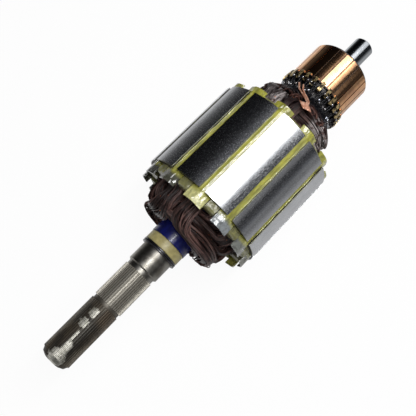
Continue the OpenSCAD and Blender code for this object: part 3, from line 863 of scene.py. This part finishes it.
# Beads of set varnish, some with a skin of solder, stand on the leads and the hooks in
# two uneven rows: each row's place along the shaft, its radius and how far it spreads
bead_rows = [(94.6, 14.15, 0.9), (98.4, 15.3, 0.5)]
missing_beads = 0.2
varnish_finish, tree = new_finish("varnish_black")
bead = noise(tree, 0.0016, detail=3)
tinned = step(tree, bead, 0.52, 0.60)
varnish = mix(tree, step(tree, bead, 0.3, 0.5), (0.016, 0.018, 0.030, 1), (0.05, 0.035, 0.030, 1))
surface(
    tree,
    {
        "Base Color": mix(tree, tinned, varnish, (0.62, 0.66, 0.76, 1)),
        "Metallic": tinned,
        "Roughness": scaled(tree, bead, 0.15, 0.10),
        "IOR": 2.4,
        "Coat Weight": 1.0,
        "Coat Roughness": 0.05,
    },
)
relief(tree, (bead, 0.00015))

runs = []
for i in range(leads):
    for row_x, row_r, spread in bead_rows:
        if draw.random() < missing_beads:
            continue
        a = 2 * math.pi * (i + 0.5) / leads + draw.uniform(-0.035, 0.035)
        x = row_x + draw.uniform(-spread, spread)
        r = row_r + draw.uniform(-0.1, 0.15)
        length, thick = draw.uniform(1.1, 1.9), draw.uniform(0.5, 0.85)
        slant = draw.uniform(-0.07, 0.07)
        points, radii = [], []
        for t in (0, 0.12, 0.35, 0.65, 0.88, 1):
            points.append(round_shaft(x + (t - 0.5) * length, r, a + (t - 0.5) * slant))
            radii.append(thick * math.sqrt(max(0.02, 1 - (2 * t - 1) ** 2)) / 1000)
        runs.append((points, radii, False, 0.0))
beads = wires_to_piece("lead_varnish_beads", runs, varnish_finish)
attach(beads, "root")

# Two leads have lost their enamel, and a folded tab of copper foil holds a joint there.
# The leads' stations are a place along the shaft, a radius and degrees round it.
bare_wire_r = 0.42
bare_leads = [
    [
        (85.2, 21.3, 100),
        (87.2, 20.4, 99),
        (88.9, 18.8, 93),
        (90.6, 17.1, 84),
        (92.6, 15.5, 73),
        (95.4, 15.0, 64),
    ],
    [
        (85.4, 21.2, 103),
        (88.0, 19.8, 101),
        (89.8, 17.9, 96),
        (91.6, 16.1, 87),
        (93.4, 15.2, 78),
        (95.4, 15.0, 73),
    ],
]
foil_x, foil_r, foil_turn = 84.7, 21.7, math.radians(101)
foil_half_length, foil_half_turn = 1.6, 0.115
foil_t = 0.3
copper_finish, tree = new_finish("lead_copper_bare")
stain = noise(tree, 0.0014, detail=4)
stained = step(tree, stain, 0.35, 0.65)
pink = mix(tree, stained, (0.95, 0.56, 0.40, 1), (0.62, 0.27, 0.16, 1))
surface(tree, {"Base Color": pink, "Metallic": 0.4, "Roughness": scaled(tree, stain, 0.3, 0.2)})
relief(tree, (stain, 0.0001))

runs = []
for stations in bare_leads:
    points = []
    for here, after in zip(stations, stations[1:]):
        for quarter in range(4):
            x, r, a = (blend(p, q, quarter / 4) for p, q in zip(here, after))
            points.append(round_shaft(x, r, math.radians(a)))
    x, r, a = stations[-1]
    points.append(round_shaft(x, r, math.radians(a)))
    runs.append((points, [bare_wire_r / 1000] * len(points), False, 1.0))
bare = wires_to_piece("leads_bare", runs, copper_finish)
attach(bare, "root")

foil_mesh = bmesh.new()
bmesh.ops.create_grid(foil_mesh, x_segments=8, y_segments=8, size=1.0)
askew = Matrix.Rotation(math.radians(45), 3, "Z")
bmesh.ops.rotate(foil_mesh, verts=foil_mesh.verts, matrix=askew)
for corner in foil_mesh.verts:
    x = foil_x + corner.co.x * foil_half_length + 0.25 * math.sin(3 * corner.co.y)
    a = foil_turn + corner.co.y * foil_half_turn
    r = foil_r - 0.6 * (x - foil_x) + 0.22 * math.sin(4 * corner.co.x + 2 * corner.co.y)
    corner.co = round_shaft(x, r, a)
bmesh.ops.recalc_face_normals(foil_mesh, faces=foil_mesh.faces)
bmesh.ops.solidify(foil_mesh, geom=foil_mesh.faces, thickness=foil_t / 1000)
foil_data = bpy.data.meshes.new("joint_foil")
foil_mesh.to_mesh(foil_data)
foil_mesh.free()
foil_data.materials.append(copper_finish)
foil_data.shade_smooth()
foil = bpy.data.objects.new("joint_foil", foil_data)
bpy.context.scene.collection.objects.link(foil)
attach(foil, "root")


# ---- Commutator hub and bush ----
# Black moulding that holds the bars, its fins level with the bottom of the gaps between
# them, and a steel bush that takes the shaft.
hub_finish, tree = new_finish("hub_black")
grain = noise(tree, 0.0005, detail=4)
black = mix(tree, grain, (0.012, 0.012, 0.012, 1), (0.035, 0.032, 0.03, 1))
surface(tree, {"Base Color": black, "Roughness": scaled(tree, grain, 0.3, 0.35)})
relief(tree, (grain, 0.00003))
dress(hub_finish, "commutator_hub")

bush_finish, tree = new_finish("bush_steel_plain")
turned = noise(tree, 0.0004, stretch=(1, 0.05, 0.05))
steel = mix(tree, turned, (0.45, 0.44, 0.42, 1), (0.3, 0.29, 0.27, 1))
surface(tree, {"Base Color": steel, "Metallic": 1.0, "Roughness": scaled(tree, turned, 0.2, 0.25)})
dress(bush_finish, "commutator_bush")


# ---- Commutator bars ----
# Drawn copper segments, turned true as one cylinder after they were moulded in.
# The brushes have polished the track in fine rings; the hooks are dull and varnished.
bars = 24
track_start = 0.1013
track_r = 0.0150
bar_finish, tree = new_finish("bar_copper_brushed")
along, radius, _ = about_shaft(tree)
rings = noise(tree, 0.0007, stretch=(1, 0.02, 0.02), detail=4)
tarnish = step(tree, noise(tree, 0.005, stretch=(1, 0.5, 0.5), detail=5), 0.35, 0.7)
copper = mix(tree, tarnish, (0.86, 0.485, 0.245, 1), (0.62, 0.335, 0.195, 1))
copper = mix(tree, step(tree, rings, 0.5, 0.72), copper, (0.40, 0.18, 0.09, 1), most=0.35)
blotch = step(tree, noise(tree, 0.0012, detail=3), 0.42, 0.58)
hook_top = mix(tree, blotch, (0.015, 0.012, 0.01, 1), (0.50, 0.38, 0.18, 1))
high = step(tree, radius, track_r + 0.0003, track_r + 0.0007)
hook_skin = mix(tree, high, (0.012, 0.01, 0.01, 1), hook_top)
on_track = step(tree, along, track_start - 0.0001, track_start + 0.0006)
on_track = both(tree, on_track, step(tree, radius, track_r + 0.00030, track_r + 0.00012))
surface(
    tree,
    {
        "Base Color": mix(tree, on_track, hook_skin, copper),
        "Metallic": scaled(tree, on_track, 0.4, 0.6),
        "Roughness": scaled(tree, rings, 0.10, 0.11),
    },
)
relief(tree, (rings, 0.000015))
dress(bar_finish, *[f"commutator_bar_{k + 1:02d}" for k in range(bars)])
